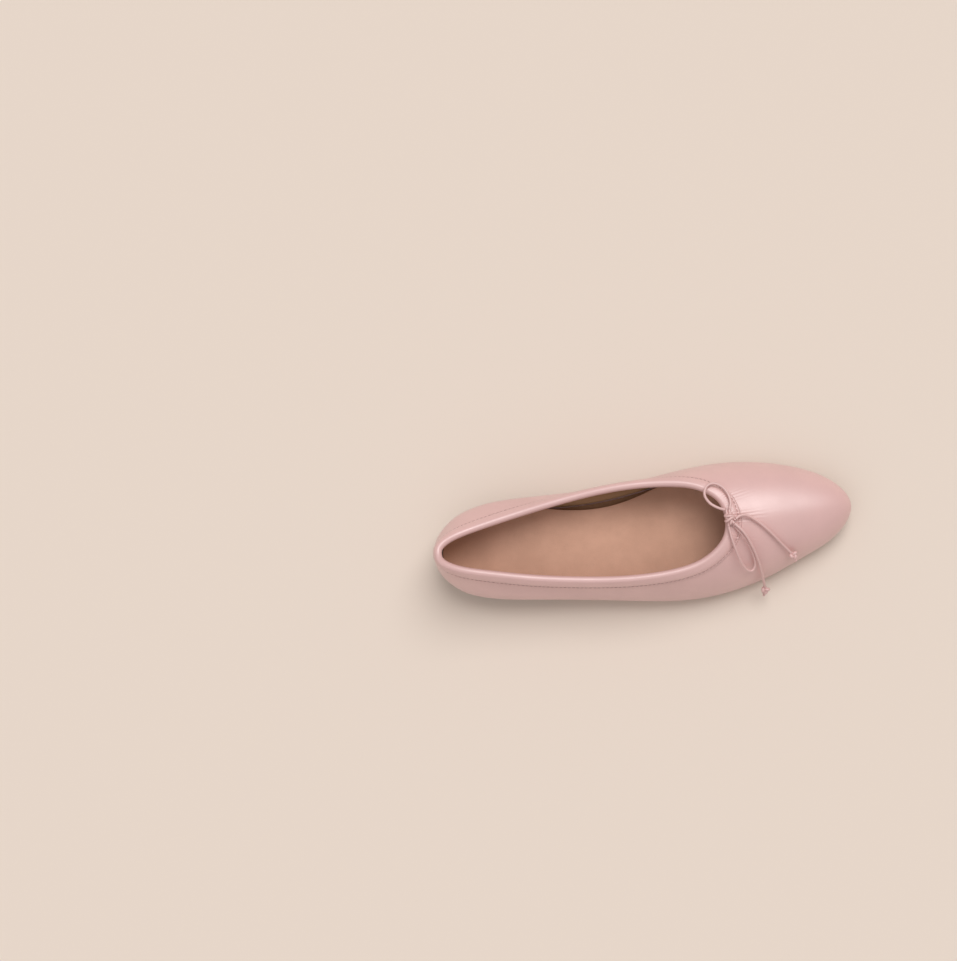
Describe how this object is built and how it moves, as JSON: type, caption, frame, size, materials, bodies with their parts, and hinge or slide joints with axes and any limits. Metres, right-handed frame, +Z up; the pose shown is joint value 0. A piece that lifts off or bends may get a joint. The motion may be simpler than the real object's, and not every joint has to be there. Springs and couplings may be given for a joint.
{
  "type": "ballet slipper",
  "caption": "Low-heeled leather ballet slipper for the right foot, with a bound topline and a drawstring tied in a small bow at the throat.",
  "frame": {"origin": "on the floor, under the middle of the slipper's box without the bow's loops and tails", "axes": "+X from heel to toe, +Y to the inner side of the right foot, +Z up"},
  "size_m": [0.25, 0.0815, 0.0578],
  "materials": {
    "pink_leather": "smooth satin nappa",
    "pink_thread": "sewing thread",
    "pink_lace": "rolled leather lace",
    "tan_sock": "matt smooth leather",
    "lining_leather": "matt leather",
    "heel_grip": "pale suede",
    "sole_leather": "waxed sole leather",
    "stacked_heel": "stacked leather, edge dressed",
    "top_piece_rubber": "matt",
    "steel": "plain steel",
    "board": "cellulose board",
    "foam": "thin latex foam",
    "stiffener": "resin-filled fabric",
    "cork": "cork sheet"
  },
  "bodies": {
    "shoe": {"upper": "pink_leather", "topline_binding": "pink_leather", "topline_thread": "pink_thread", "drawstring": "pink_lace", "bow_knot": "pink_lace", "heel_counter": "stiffener", "toe_puff": "stiffener", "heel_grip_lining": "heel_grip", "quarter_lining_outer": "lining_leather", "quarter_lining_inner": "lining_leather", "vamp_lining": "lining_leather", "sock": "tan_sock", "cushion_pad": "foam", "insole_board": "board", "shank": "steel", "bottom_filler": "cork", "outsole": "sole_leather", "heel_block": "stacked_heel", "heel_top_piece": "top_piece_rubber", "shank_rivet_1": "steel", "shank_rivet_2": "steel", "heel_nail_1": "steel", "heel_nail_2": "steel", "heel_nail_3": "steel", "heel_nail_4": "steel", "heel_nail_5": "steel", "top_piece_brad_1": "steel", "top_piece_brad_2": "steel", "top_piece_brad_3": "steel", "top_piece_brad_4": "steel"},
    "loop_inner": {"bow_loop_inner": "pink_lace"},
    "loop_outer": {"bow_loop_outer": "pink_lace"},
    "tail_outer": {"bow_tail_outer": "pink_lace", "tail_knot_outer": "pink_lace"},
    "tail_front": {"bow_tail_front": "pink_lace", "tail_knot_front": "pink_lace"}
  },
  "joints": [
    {"name": "tail_outer_swing", "type": "hinge", "parent": "shoe", "child": "tail_outer", "pos_m": [0.05475, 0.00089, 0.0471], "axis": [-0.7727, -0.6348, 0], "range_deg": [0, 90]},
    {"name": "tail_front_swing", "type": "hinge", "parent": "shoe", "child": "tail_front", "pos_m": [0.05595, 0.00349, 0.046], "axis": [0.5547, -0.8321, 0], "range_deg": [0, 90]},
    {"name": "loop_inner_lift", "type": "hinge", "parent": "shoe", "child": "loop_inner", "pos_m": [0.05165, 0.00959, 0.046], "axis": [1, 0, 0], "range_deg": [0, 80]},
    {"name": "loop_outer_lift", "type": "hinge", "parent": "shoe", "child": "loop_outer", "pos_m": [0.05305, -0.00061, 0.0458], "axis": [-0.9939, 0.1104, 0], "range_deg": [0, 80]}
  ]
}
